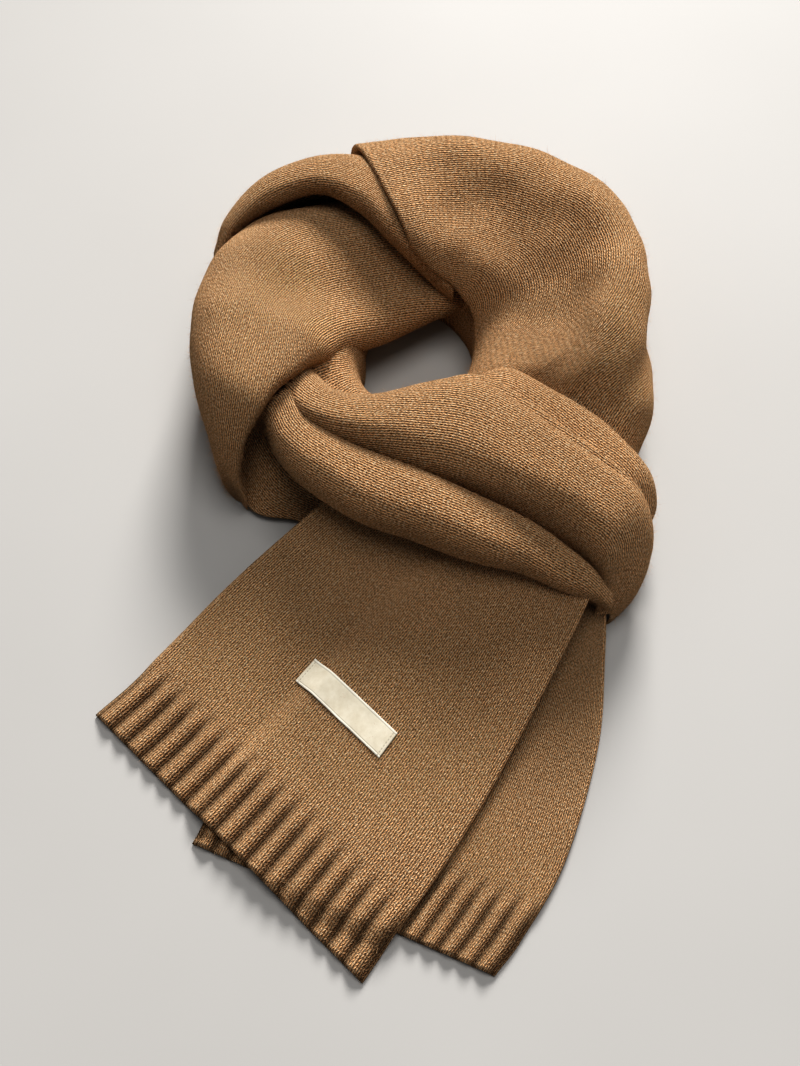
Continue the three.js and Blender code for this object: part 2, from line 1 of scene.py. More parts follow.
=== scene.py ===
# A knit scarf wound into one loop, with both ends pulled through it, lying on a pale surface.
# Lengths in the tables are millimetres from the tables' own zero point. A mesh is turned to
# metres, in the part's frame, when it is made.
import math

import bpy
import numpy as np
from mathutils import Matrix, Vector


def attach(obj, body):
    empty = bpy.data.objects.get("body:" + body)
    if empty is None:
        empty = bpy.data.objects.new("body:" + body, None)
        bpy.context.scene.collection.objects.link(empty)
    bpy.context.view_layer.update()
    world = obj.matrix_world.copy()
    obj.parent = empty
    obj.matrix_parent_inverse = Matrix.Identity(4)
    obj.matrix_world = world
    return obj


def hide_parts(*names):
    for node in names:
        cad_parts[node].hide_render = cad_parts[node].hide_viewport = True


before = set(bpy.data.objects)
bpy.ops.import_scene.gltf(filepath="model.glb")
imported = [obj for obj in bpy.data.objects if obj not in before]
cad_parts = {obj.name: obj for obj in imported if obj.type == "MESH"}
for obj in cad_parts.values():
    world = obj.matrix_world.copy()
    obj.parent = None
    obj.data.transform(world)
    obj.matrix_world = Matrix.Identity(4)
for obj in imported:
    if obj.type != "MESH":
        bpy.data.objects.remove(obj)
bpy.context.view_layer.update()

MM = 0.001
BODY = "root"

# Cloth
WALL = 5.0
RIBS = 17
RIB_HEIGHT = 1.6
RIB_DEPTH = 40.0
RIB_SINK = 1.2
STITCHES_A_RIB = 4
END_WIDTH = 219.0
STITCH_WIDE = END_WIDTH / (RIBS * STITCHES_A_RIB)
STITCH_TALL = 2.5
CLEARANCE = 0.35
STEP_WIDTH = 18.0

# Label
LABEL_LONG = 70.0
LABEL_WIDE = 19.0
LABEL_THICK = 0.5
LABEL_ROW = 2.95
LABEL_ACROSS = 0.52

# The tables' own zero point in the part's frame
TABLE_X = -9.2
TABLE_Y = -3.3

# The photograph's camera
ELEVATION = 62.0
FOCAL_PX = 1400.0
PICTURE_TALL_PX = 1066.0
SENSOR = 36.0
DISTANCE = 0.896

# Each row of a fold's table is one section across the strip:
# inner edge x y z, outer edge x y z, foot, crest's share across, crest's height, rise, fall
RING_LEFT = np.array([
    [53, 162, 30, 34, 238, 34, 0, 0.40, 50, 0.8, 0.7],
    [24, 145, 34, 0, 243, 34, 0, 0.46, 56, 0.8, 0.7],
    [-10, 124, 36, -44, 234, 36, 0, 0.52, 62, 0.8, 0.7],
    [-39, 105, 46, -90, 215, 40, 0, 0.50, 74, 0.8, 0.7],
    [-53, 89, 64, -121, 183, 42, 0, 0.42, 82, 0.8, 0.7],
    [-64, 73, 74, -134, 143, 42, 0, 0.32, 85, 0.8, 0.7],
    [-76, 59, 78, -136, 111, 40, 0, 0.27, 86, 0.8, 0.7],
    [-85, 42, 76, -132, 82, 38, 0, 0.22, 82, 0.8, 0.7],
    [-94, 31, 62, -124, 57, 33, 0, 0.18, 68, 0.8, 0.7],
    [-99, 21, 42, -118, 39, 24, 0, 0.20, 48, 0.8, 0.7],
    [-99, 17, 24, -113, 31, 14, 0, 0.26, 30, 0.8, 0.7],
    [-98, 16, 8, -106, 27, 5, 0, 0.30, 11, 0.8, 0.7],
])
RING_TOP = np.array([
    [34, 153, 46, 36, 258, 36, 0, 0.35, 62, 0.7, 0.7],
    [13, 166, 60, 13, 260, 36, 0, 0.32, 76, 0.7, 0.7],
    [-8, 182, 72, -6, 260, 36, 0, 0.28, 84, 0.7, 0.7],
    [-27, 203, 76, -28, 258, 38, 0, 0.25, 86, 0.7, 0.7],
    [-55, 217, 78, -62, 252, 38, 0, 0.25, 86, 0.7, 0.7],
    [-88, 209, 74, -98, 232, 38, 0, 0.25, 80, 0.7, 0.7],
    [-112, 194, 62, -119, 210, 32, 0, 0.25, 66, 0.7, 0.7],
    [-118, 184, 46, -127, 195, 24, 0, 0.3, 50, 0.7, 0.7],
])
RING_RIGHT = np.array([
    [33, 66, 26, 134, 8, 16, 0, 0.30, 48, 1.0, 0.7],
    [38, 85, 32, 150, 36, 24, 0, 0.28, 62, 1.1, 0.7],
    [43, 97, 36, 159, 61, 32, 0, 0.40, 77, 1.3, 0.65],
    [48, 116, 36, 162, 87, 36, 0, 0.58, 85, 1.5, 0.6],
    [49, 131, 36, 162, 118, 38, 0, 0.72, 87, 1.5, 0.6],
    [48, 140, 40, 162, 149, 40, 0, 0.80, 88, 1.4, 0.6],
    [44, 146, 46, 160, 183, 40, 0, 0.82, 87, 1.2, 0.65],
    [38, 151, 52, 144, 221, 40, 0, 0.76, 88, 1.1, 0.65],
    [31, 155, 58, 101, 253, 40, 0, 0.72, 89, 1.1, 0.65],
    [23, 157, 64, 52, 268, 40, 0, 0.68, 90, 1.0, 0.65],
    [16, 162, 70, 6, 271, 40, 0, 0.58, 90, 0.9, 0.7],
    [8, 170, 74, -33, 267, 42, 0, 0.48, 89, 0.8, 0.7],
])
BAND_UPPER = np.array([
    [-55, 91, 40, -75, 70, 46, 36, 0.75, 64, 0.7, 0.7],
    [-38, 69, 44, -60, 44, 56, 46, 0.70, 75, 0.7, 0.7],
    [-14, 61, 50, -36, 27, 60, 50, 0.62, 82, 0.7, 0.7],
    [16, 66, 60, -4, 14, 60, 50, 0.56, 87, 0.7, 0.7],
    [47, 66, 74, 27, 2, 60, 50, 0.55, 90, 0.7, 0.7],
    [72, 50, 78, 54, -10, 57, 47, 0.52, 90, 0.7, 0.7],
    [97, 29, 78, 79, -23, 53, 43, 0.52, 88, 0.7, 0.7],
    [121, 11, 74, 104, -37, 46, 36, 0.50, 82, 0.7, 0.7],
    [144, -4, 58, 116, -46, 40, 30, 0.45, 72, 0.7, 0.7],
    [154, -19, 38, 121, -52, 33, 23, 0.42, 57, 0.7, 0.7],
    [153, -35, 24, 121, -57, 27, 15, 0.42, 44, 0.7, 0.7],
    [145, -50, 14, 119, -61, 20, 9, 0.45, 33, 0.7, 0.7],
    [132, -62, 9, 117, -66, 13, 5, 0.50, 20, 0.7, 0.7],
])
BAND_BACK = np.array([
    [28, 52, 58, 38, 74, 56, 48, 0.6, 64, 0.8, 0.7],
    [52, 44, 66, 68, 82, 64, 54, 0.6, 72, 0.8, 0.7],
    [78, 26, 68, 98, 64, 62, 52, 0.6, 72, 0.8, 0.7],
    [102, 8, 62, 130, 42, 56, 46, 0.6, 67, 0.8, 0.7],
    [122, -8, 50, 155, 20, 42, 20, 0.6, 57, 0.8, 0.7],
    [130, -18, 36, 160, 3, 28, 6, 0.6, 42, 0.8, 0.7],
    [130, -28, 20, 152, -10, 14, 0, 0.6, 24, 0.8, 0.7],
])
BAND_LOWER = np.array([
    [-84, 71, 44, -96, 56, 34, 26, 0.45, 52, 0.7, 0.7],
    [-67, 69, 52, -87, 49, 42, 34, 0.45, 67, 0.7, 0.7],
    [-55, 47, 56, -75, 25, 48, 40, 0.48, 72, 0.7, 0.7],
    [-33, 30, 56, -58, 4, 50, 42, 0.50, 75, 0.7, 0.7],
    [-1, 15, 56, -24, -20, 52, 44, 0.50, 76, 0.7, 0.7],
    [28, 2, 56, 11, -34, 52, 44, 0.52, 75, 0.7, 0.7],
    [55, -10, 54, 41, -45, 52, 44, 0.52, 72, 0.7, 0.7],
    [80, -23, 50, 70, -53, 50, 42, 0.52, 66, 0.7, 0.7],
    [103, -38, 42, 95, -61, 44, 36, 0.52, 57, 0.7, 0.7],
    [118, -48, 34, 112, -64, 36, 28, 0.50, 47, 0.7, 0.7],
    [128, -57, 26, 125, -66, 28, 20, 0.50, 34, 0.7, 0.7],
])

# Each row of a flat end's table: left edge x y z, height in the middle, right edge x y z
TAIL_FRONT = np.array([
    [-179, -124, 5, 5, -21, -276, 5],
    [-160, -105, 5, 5, -6, -255, 5],
    [-134, -75, 6, 6, 16, -226, 5],
    [-107, -47, 13, 9, 40, -190, 6],
    [-73, -18, 25, 18, 63, -151, 10],
    [-40, 8, 36, 30, 85, -112, 19],
    [-12, 30, 40, 38, 104, -77, 30],
    [6, 46, 41, 41, 116, -53, 37],
])
TAIL_REAR = np.array([
    [-116, -201, 5, 5, 51, -273, 5],
    [-103, -177, 5, 5, 66, -254, 5],
    [-65, -135, 5, 5, 92, -211, 5],
    [-24, -90, 5, 6, 115, -143, 6],
    [25, -46, 8, 13, 122, -88, 11],
    [58, -20, 14, 20, 124, -58, 18],
])
BAND_RETURN = np.array([
    [-88, 60, 40, 30, -112, 44, 8],
    [-79, 44, 36, 26, -99, 20, 7],
    [-66, 29, 30, 20, -88, 11, 6],
    [-44, 18, 22, 14, -66, 7, 6],
    [-20, 12, 14, 10, -42, -2, 6],
])

# The hidden layers, turned round the middle of the hole:
# turn in degrees, inner and outer radius, crest's share, height
HOLE_X = 12.0
HOLE_Y = 118.0
CORE = np.array([
    [0, 36, 132, 0.60, 50],
    [45, 43, 138, 0.58, 52],
    [90, 53, 126, 0.50, 56],
    [135, 42, 104, 0.50, 54],
    [180, 34, 116, 0.50, 60],
    [215, 42, 92, 0.50, 52],
    [245, 44, 96, 0.55, 54],
    [270, 44, 112, 0.55, 60],
    [300, 40, 122, 0.55, 60],
    [330, 38, 126, 0.55, 50],
])

LIP_BACK = 9.0
LIP_DROP = 12.0
FOOT_BACK = 16.0
FOOT_SHARE = 0.35
RUN_OUT = 0.22

# Soft creases: along and across are shares of the stretch, from one end of the
# crease to its other, width and height are millimetres, and a height below 0 is a trough
CREASES = {
    "ring_left": (
        (0.02, 0.27, 0.32, 0.33, 48, -9),
        (0.30, 0.12, 0.47, 0.46, 30, 3),
        (0.44, 0.95, 0.50, 0.78, 36, -3),
        (0.68, 0.95, 0.70, 0.76, 34, -3),
    ),
    "ring_top": (
        (0.38, 0.94, 0.44, 0.74, 34, -3),
    ),
    "ring_right": (
        (0.14, 0.29, 0.80, 0.27, 62, -11),
        (0.16, 0.44, 0.62, 0.50, 24, 4),
        (0.38, 0.72, 0.15, 0.58, 26, -4),
        (0.50, 0.98, 0.52, 0.84, 30, -3),
        (0.72, 0.98, 0.70, 0.84, 30, -3),
        (0.88, 0.98, 0.86, 0.84, 30, -3),
    ),
    "band_upper": (
        (0.26, 0.235, 0.80, 0.215, 5, -1.6),
        (0.26, 0.205, 0.80, 0.185, 5, 1.0),
    ),
    "band_back": (
        (0.62, 0.80, 0.80, 0.45, 26, -2),
        (0.05, 0.14, 0.90, 0.14, 5, -1.4),
    ),
}


# Curves and sections

def rows_at(rows, places):
    last = len(rows) - 1
    k = np.minimum(np.floor(places).astype(int), last - 1)
    t = (places - k)[:, None]
    b = rows[k]
    c = rows[k + 1]
    a = np.where((k > 0)[:, None], rows[np.maximum(k - 1, 0)], 2 * b - c)
    d = np.where((k + 2 <= last)[:, None], rows[np.minimum(k + 2, last)], 2 * c - b)
    return hermite(t, b, (c - a) / 2, c, (d - b) / 2)


def hermite(t, start, slope_in, end, slope_out):
    return (
        (2 * t**3 - 3 * t**2 + 1) * start
        + (t**3 - 2 * t**2 + t) * slope_in
        + (3 * t**2 - 2 * t**3) * end
        + (t**3 - t**2) * slope_out
    )


def quarter(steps):
    return (np.arange(steps) + 1) / steps * math.pi / 2


def fold_sections(rows, lip):
    in_x, in_y, in_z, out_x, out_y, out_z, foot, crest_at, crest_z, rise, fall = rows.T[:, :, None]
    width = np.hypot(out_x - in_x, out_y - in_y)
    shares = []
    heights = []
    if lip:
        a = quarter(16)[::-1]
        shares.append(np.minimum(LIP_BACK / width, RUN_OUT) * (1 - np.cos(a)))
        heights.append(in_z - LIP_DROP * np.sin(a))
    shares.append(0 * width)
    heights.append(in_z)
    a = quarter(60)
    flat = np.abs(np.cos(a))
    shares.append(crest_at * (1 - flat**rise))
    heights.append(in_z + (crest_z - in_z) * np.sin(a)**rise)
    shares.append(crest_at + (1 - crest_at) * np.sin(a)**fall)
    heights.append(out_z + (crest_z - out_z) * flat**fall)
    a = quarter(24)
    drop = out_z - np.maximum(foot, 0)
    back = np.minimum(np.minimum(FOOT_BACK, FOOT_SHARE * width), drop)
    shares.append(1 - back / width * (1 - np.cos(a)))
    heights.append(out_z - drop * np.sin(a))
    share = np.concatenate(shares, axis=1)
    height = np.concatenate(heights, axis=1)
    return np.stack([in_x + (out_x - in_x) * share, in_y + (out_y - in_y) * share, height], axis=2)


def flat_sections(rows, across):
    left = rows[:, None, 0:3]
    right = rows[:, None, 4:7]
    v = across[None, :, None]
    points = left + (right - left) * v
    lift = rows[:, 3:4] - (rows[:, 2:3] + rows[:, 6:7]) / 2
    points[:, :, 2] += lift * 4 * v[:, :, 0] * (1 - v[:, :, 0])
    return points


def evenly(sections, count):
    out = np.empty((len(sections), count, 3))
    for k, line in enumerate(sections):
        reach = np.concatenate([[0], np.cumsum(np.linalg.norm(np.diff(line, axis=0), axis=1))])
        want = np.linspace(0, reach[-1], count)
        for axis in range(3):
            out[k, :, axis] = np.interp(want, reach, line[:, axis])
    return out


def smooth_step(value, low, high):
    t = np.clip((value - low) / (high - low), 0, 1)
    return t * t * (3 - 2 * t)


def unit(vectors):
    return vectors / np.maximum(np.linalg.norm(vectors, axis=-1, keepdims=True), 1e-9)


def spread(values, times=3):
    for _ in range(times):
        values[1:-1] = (values[:-2] + 2 * values[1:-1] + values[2:]) / 4
        values[:, 1:-1] = (values[:, :-2] + 2 * values[:, 1:-1] + values[:, 2:]) / 4
    return values


def net_normals(points):
    along = np.gradient(points, axis=0)
    across = np.gradient(points, axis=1)
    normals = unit(np.cross(along, across))
    i, j = np.unravel_index(np.argmax(points[:, :, 2]), points.shape[:2])
    if normals[i, j, 2] < 0:
        normals = -normals
    return unit(spread(normals))


def reach_along(points, axis):
    steps = np.linalg.norm(np.diff(points, axis=axis), axis=2)
    total = np.cumsum(steps, axis=axis)
    start = np.zeros_like(np.take(total, [0], axis=axis))
    return np.concatenate([start, total], axis=axis)


# Directions out of a fold, each within the plane of its own section
def section_normals(points, spans):
    outward = unit(spans)[:, None]
    step = np.gradient(points, axis=1)
    level = (step[:, :, :2] * outward).sum(axis=2)
    sideways = -step[:, :, 2:3] * outward
    return unit(np.concatenate([sideways, level[:, :, None]], axis=2))


def crease(points, normals, rows):
    sections, columns = points.shape[:2]
    length = reach_along(points, 0)[-1, columns // 2]
    breadth = reach_along(points, 1)[sections // 2, -1]
    px = np.linspace(0, length, sections)[:, None]
    py = np.linspace(0, breadth, columns)[None, :]
    lift = np.zeros((sections, columns))
    for along_a, across_a, along_b, across_b, width, height in rows:
        ax, ay = along_a * length, across_a * breadth
        bx, by = along_b * length, across_b * breadth
        span = (bx - ax)**2 + (by - ay)**2
        t = np.clip(((px - ax) * (bx - ax) + (py - ay) * (by - ay)) / span, 0, 1)
        away = np.hypot(px - ax - t * (bx - ax), py - ay - t * (by - ay))
        lift += height * np.exp(-(away / (width / 2))**2)
    return points + normals * lift[:, :, None]


def waves(points, normals, seed, height, length):
    rng = np.random.default_rng(seed)
    lift = np.zeros(points.shape[:2])
    for _ in range(9):
        way = unit(rng.normal(size=3))
        phase = rng.uniform(0, 2 * math.pi)
        wave = length * rng.uniform(0.7, 1.6)
        lift += np.sin(points @ way * 2 * math.pi / wave + phase)
    share = np.linspace(0, 1, len(points))
    fade = smooth_step(np.minimum(share, 1 - share), 0, 0.08)[:, None]
    return points + normals * (lift * fade * height / 3)[:, :, None]


# Meshes

CREST_SMOOTH = 31
CAP_STEPS = 6
END_TURNS = (30, 55, 75)
EDGE_ROUND = 0.45  # how far a wall's rounded edge stands out, in walls
HEM_ROUND = 0.4
STITCHES_TO_CREST = 400  # keeps the counts of stitches above zero
ALONG_START = 900.0
CORE_REACH = 60.0  # the core's stitches are counted along a circle of this radius
CORE_FULL = 0.7
LAYER_GROOVE = 1.6


def closed_loops(outer, inner):
    far_mid = (outer[:, -1] + inner[:, -1]) / 2
    near_mid = (outer[:, 0] + inner[:, 0]) / 2
    far_away = unit(outer[:, -1] - outer[:, -2] + inner[:, -1] - inner[:, -2]) * WALL * EDGE_ROUND
    near_away = unit(outer[:, 0] - outer[:, 1] + inner[:, 0] - inner[:, 1]) * WALL * EDGE_ROUND
    turns = [math.pi * k / CAP_STEPS for k in range(1, CAP_STEPS)]
    far_half = outer[:, -1] - far_mid
    near_half = outer[:, 0] - near_mid
    far = [far_mid + far_half * math.cos(a) + far_away * math.sin(a) for a in turns]
    near = [near_mid - near_half * math.cos(a) + near_away * math.sin(a) for a in turns]
    return np.concatenate([outer, np.stack(far, 1), inner[:, ::-1], np.stack(near, 1)], axis=1)


def end_loops(loops, columns, first, reach):
    """Extra loops that round a stretch's end off, from the stretch outwards"""
    loop, inside = (loops[0], loops[1]) if first else (loops[-1], loops[-2])
    size = len(loop)
    partner = partner_of(columns, size)
    middle = (loop + loop[partner]) / 2
    away = unit(middle - (inside + inside[partner]) / 2) * reach
    return [
        middle + (loop - middle) * math.cos(math.radians(a)) + away * math.sin(math.radians(a))
        for a in END_TURNS
    ]


def partner_of(columns, size):
    """The point across the wall from each point of a loop"""
    partner = np.arange(size)
    partner[:columns] = columns + CAP_STEPS - 1 + columns - 1 - np.arange(columns)
    partner[columns + CAP_STEPS - 1:2 * columns + CAP_STEPS - 1] = np.arange(columns)[::-1]
    caps = np.arange(CAP_STEPS - 1)
    partner[columns + caps] = columns + caps[::-1]
    start = 2 * columns + CAP_STEPS - 1
    partner[start + caps] = start + caps[::-1]
    return partner


def wall_mesh(name, outer, inner, uv_across, uv_along, end_reach=WALL * EDGE_ROUND):
    columns = outer.shape[1]
    loops = closed_loops(outer, inner)
    start = end_loops(loops, columns, True, end_reach)
    end = end_loops(loops, columns, False, end_reach)
    loops = np.concatenate([np.stack(start[::-1]), loops, np.stack(end)])
    rows, size = loops.shape[:2]
    loops[:, :, 2] = np.maximum(loops[:, :, 2], 0)
    pad = len(END_TURNS)
    cap = math.pi * WALL / 2
    cap_steps = cap * np.arange(1, CAP_STEPS) / CAP_STEPS
    last = uv_across[:, -1:]
    across = np.concatenate([
        uv_across,
        last + cap_steps[None],
        last + cap + (last - uv_across[:, ::-1]),
        2 * last + cap - uv_across[:, :1] + cap_steps[None],
        2 * last + 2 * cap - uv_across[:, :1],
    ], axis=1)
    along = np.concatenate([
        uv_along,
        np.repeat(uv_along[:, -1:], CAP_STEPS - 1, axis=1),
        uv_along[:, ::-1],
        np.repeat(uv_along[:, :1], CAP_STEPS, axis=1),
    ], axis=1)
    tips = end_reach * np.sin(np.radians(END_TURNS))[:, None]
    across = np.concatenate([np.repeat(across[:1], pad, 0), across, np.repeat(across[-1:], pad, 0)])
    along = np.concatenate([along[:1] - tips[::-1], along, along[-1:] + tips])
    i = np.arange(rows - 1)[:, None]
    j = np.arange(size)[None, :]
    n = (j + 1) % size
    quads = np.stack([i * size + j, i * size + n, (i + 1) * size + n, (i + 1) * size + j], axis=2)
    quads = quads.reshape(-1, 4)
    corner_j = np.broadcast_to(j, (rows - 1, size))
    corner_i = np.broadcast_to(i, (rows - 1, size))
    uv_rows = np.stack([corner_i, corner_i, corner_i + 1, corner_i + 1], axis=2).reshape(-1)
    uv_cols = np.stack([corner_j, corner_j + 1, corner_j + 1, corner_j], axis=2).reshape(-1)
    uvs = np.stack([across[uv_rows, uv_cols], along[uv_rows, uv_cols]], axis=1)
    partner = partner_of(columns, size)
    strips = []
    strip_uvs = []
    for row, turned in ((0, False), (rows - 1, True)):
        a = np.arange(columns - 1)
        strip = np.stack([a + 1, a, partner[a], partner[a + 1]], axis=1)
        strip_across = np.stack([across[row][a + 1], across[row][a]] * 2, axis=1)
        strip_across[:, 2:] = strip_across[:, 2:][:, ::-1]
        if turned:
            strip = strip[:, ::-1]
            strip_across = strip_across[:, ::-1]
        strips.append(strip + row * size)
        strip_uvs.append(np.stack([strip_across.reshape(-1), np.repeat(along[row][a], 4)], axis=1))
        far = np.arange(columns - 1, columns + CAP_STEPS)
        near = np.concatenate([np.arange(2 * columns + CAP_STEPS - 2, size), [0]])
        for ring in (far, near):
            ordered = ring if turned else ring[::-1]
            strips.append([list(ordered + row * size)])
            corner = (across[row][0], along[row][0])
            strip_uvs.append(np.tile(corner, (len(ring), 1)))
    faces = quads.tolist()
    for strip in strips:
        faces.extend(strip.tolist() if isinstance(strip, np.ndarray) else strip)
    all_uvs = np.concatenate([uvs, *strip_uvs]) / (STITCH_WIDE, STITCH_TALL)
    return mesh_object(name, loops.reshape(-1, 3), faces, all_uvs)


def mesh_object(name, points, faces, uvs):
    mesh = bpy.data.meshes.new(name)
    placed = (points - (TABLE_X, TABLE_Y, 0)) * MM
    mesh.from_pydata(placed.tolist(), [], faces)
    mesh.uv_layers.new(name="stitches").data.foreach_set("uv", uvs.astype(np.float32).ravel())
    mesh.polygons.foreach_set("use_smooth", [True] * len(mesh.polygons))
    mesh.update()
    obj = bpy.data.objects.new(name, mesh)
    bpy.context.collection.objects.link(obj)
    return obj


def facing_out(obj):
    """Turns a closed mesh's faces outwards, judged by its volume"""
    mesh = obj.data
    mesh.calc_loop_triangles()
    points = np.array([v.co for v in mesh.vertices])
    corners = np.array([t.vertices for t in mesh.loop_triangles])
    a, b, c = points[corners[:, 0]], points[corners[:, 1]], points[corners[:, 2]]
    if np.einsum("ij,ij->i", a, np.cross(b, c)).sum() < 0:
        mesh.flip_normals()


def crest_columns(points):
    """The column each section's crest lies at, smoothed along the stretch"""
    crest = np.argmax(points[:, :, 2], axis=1).astype(float)
    pad = CREST_SMOOTH // 2
    return np.convolve(np.pad(crest, pad, mode="edge"), np.ones(CREST_SMOOTH) / CREST_SMOOTH, "valid")


# Stitches are counted across from the crest, and along by the crest's length and their own
def stitch_places(points, crest):
    across = reach_along(points, 1)
    along = reach_along(points, 0)
    columns = np.arange(points.shape[1])
    from_crest = np.array([np.interp(c, columns, line) for c, line in zip(crest, across)])
    column = int(crest.mean())
    middle = points.shape[0] // 2
    along = along - along[middle:middle + 1]
    along = (along + along[:, column:column + 1]) / 2
    return across - from_crest[:, None] + STITCHES_TO_CREST * STITCH_WIDE, along + ALONG_START


def fold_piece(name, table, lip, sections, columns, creases, seed):
    rows = rows_at(table, np.linspace(0, len(table) - 1, sections + 1))
    spans = rows[:, 3:5] - rows[:, 0:2]
    outer = evenly(fold_sections(rows, lip), columns + 1)
    crest = crest_columns(outer)
    outer = crease(outer, section_normals(outer, spans), creases)
    outer = waves(outer, section_normals(outer, spans), seed, 0.7, 46)
    thick = np.minimum(WALL, RUN_OUT * np.linalg.norm(spans, axis=1))[:, None, None]
    inner = outer - section_normals(outer, spans) * thick
    across, along = stitch_places(outer, crest)
    piece = wall_mesh(name, outer, inner, across, along)
    facing_out(piece)
    return piece, outer, net_normals(outer)


def from_edge(points):
    """How far points lie inside the left edge of the lower end"""
    edge = TAIL_REAR[:, 0:2]
    best = np.full(points.shape[:-1], np.inf)
    side = np.ones(points.shape[:-1])
    for a, b in zip(edge[:-1], edge[1:]):
        ab = b - a
        ap = points[..., 0:2] - a
        t = np.clip(ap @ ab / (ab @ ab), 0, 1)
        away = np.linalg.norm(ap - t[..., None] * ab, axis=-1)
        turn = np.sign(ab[0] * ap[..., 1] - ab[1] * ap[..., 0])
        side = np.where(away < best, turn, side)
        best = np.minimum(away, best)
    hem = TAIL_REAR[0, 4:6] - TAIL_REAR[0, 0:2]
    ap = points[..., 0:2] - TAIL_REAR[0, 0:2]
    from_hem = (ap[..., 0] * hem[1] - ap[..., 1] * hem[0]) / np.linalg.norm(hem)
    return np.minimum(-side * best, -from_hem)


def climb(points):
    points = points.copy()
    points[..., 2] += (WALL + CLEARANCE) * smooth_step(from_edge(points), -STEP_WIDTH, -WALL * 0.4)
    return points


def rib_height(from_hem, across):
    fade = 1 - smooth_step(from_hem, RIB_DEPTH * 0.8, RIB_DEPTH * 1.15)
    wave = 0.5 - 0.5 * np.cos(across * RIBS * 2 * math.pi)
    return fade * ((RIB_HEIGHT + RIB_SINK) * wave**0.6 - RIB_SINK)


def tail_points(table, places, across, climbing):
    points = flat_sections(rows_at(table, places), across)
    return climb(points) if climbing else points


def tail_piece(name, table, climbing, sections, seed):
    columns = RIBS * 12
    across = np.linspace(0, 1, columns + 1)
    places = np.linspace(0, 1, sections + 1)**1.15 * (len(table) - 1)
    base = tail_points(table, places, across, climbing)
    up = np.zeros_like(base)
    up[:, :, 2] = 1
    soft = waves(base, up, seed, 0.45, 70)
    far_from_hem = smooth_step(reach_along(base, 0), 0, 60)[:, :, None]
    settled = base + (soft - base) * (0.35 + 0.65 * far_from_hem)
    settled[:, :, 2] = np.maximum(settled[:, :, 2], WALL)
    outer = settled.copy()
    from_hem = reach_along(base, 0)
    outer[:, :, 2] += rib_height(from_hem, across[None, :])
    inner = settled.copy()
    inner[:, :, 2] -= WALL
    uv_across = np.broadcast_to(across[None, :] * END_WIDTH, base.shape[:2])
    piece = wall_mesh(name, outer, inner, uv_across, from_hem + 0 * uv_across, WALL * HEM_ROUND)
    facing_out(piece)
    return piece, outer, net_normals(outer)


def flat_piece(name, table, sections, columns, seed):
    places = np.linspace(0, len(table) - 1, sections + 1)
    outer = flat_sections(rows_at(table, places), np.linspace(0, 1, columns + 1))
    normals = net_normals(outer)
    outer = waves(outer, normals, seed, 0.6, 40)
    inner = outer - normals * WALL
    piece = wall_mesh(name, outer, inner, reach_along(outer, 1), reach_along(outer, 0))
    facing_out(piece)
    return piece, outer, normals


def core_piece(name, turns, round_steps):
    closed = np.concatenate([CORE, CORE[:1] + (360, 0, 0, 0, 0)])
    share = np.arange(turns) / turns * len(CORE)
    wrapped = np.concatenate([CORE[-1:] - (360, 0, 0, 0, 0), closed, CORE[1:2] + (360, 0, 0, 0, 0)])
    rows = rows_at(wrapped, share + 1)
    k = np.floor(share).astype(int)
    turn = np.radians(closed[k, 0] + (closed[k + 1, 0] - closed[k, 0]) * (share - k))
    inner, outer, crest_at, top = rows[:, 1:2], rows[:, 2:3], rows[:, 3:4], rows[:, 4:5]
    a = np.linspace(0, math.pi, round_steps)[None, :]
    crest = inner + (outer - inner) * crest_at
    half = np.where(a < math.pi / 2, crest - inner, outer - crest)
    layers = LAYER_GROOVE * np.abs(np.sin(a * 3.0))**0.5 * (np.cos(a) > 0)
    r = crest - half * np.sign(np.cos(a)) * np.abs(np.cos(a))**CORE_FULL + LAYER_GROOVE - layers
    z = top * np.sin(a)**CORE_FULL
    x = HOLE_X + r * np.cos(turn)[:, None]
    y = HOLE_Y + r * np.sin(turn)[:, None]
    points = np.stack([x, y, z + 0 * x], axis=2)
    across = reach_along(points, 1)
    along = (turn * CORE_REACH)[:, None] + 0 * across
    i = np.arange(turns)[:, None]
    j = np.arange(round_steps)[None, :]
    m = (j + 1) % round_steps
    n = (i + 1) % turns
    here = i * round_steps
    next_turn = n * round_steps
    quads = np.stack([here + j, here + m, next_turn + m, next_turn + j], axis=2)
    after = along + (np.roll(along, -1, axis=0) - along) % (2 * math.pi * CORE_REACH)
    side = np.stack([along, along, after, after], axis=2)
    up = np.stack([across, np.roll(across, -1, axis=1), np.roll(across, -1, axis=1), across], axis=2)
    uvs = np.stack([side / STITCH_WIDE, up / STITCH_TALL], axis=3).reshape(-1, 2)
    obj = mesh_object(name, points.reshape(-1, 3), quads.reshape(-1, 4).tolist(), uvs)
    facing_out(obj)
    return obj


# Loose fibres that stand off the cloth

NAP_DENSITY = 0.17  # fibres to a square millimetre
NAP_LONGEST = 5.5
FIBRE_HALF_WIDTH = 0.05
FIBRE_SHARES = (0.0, 0.34, 0.68, 1.0)


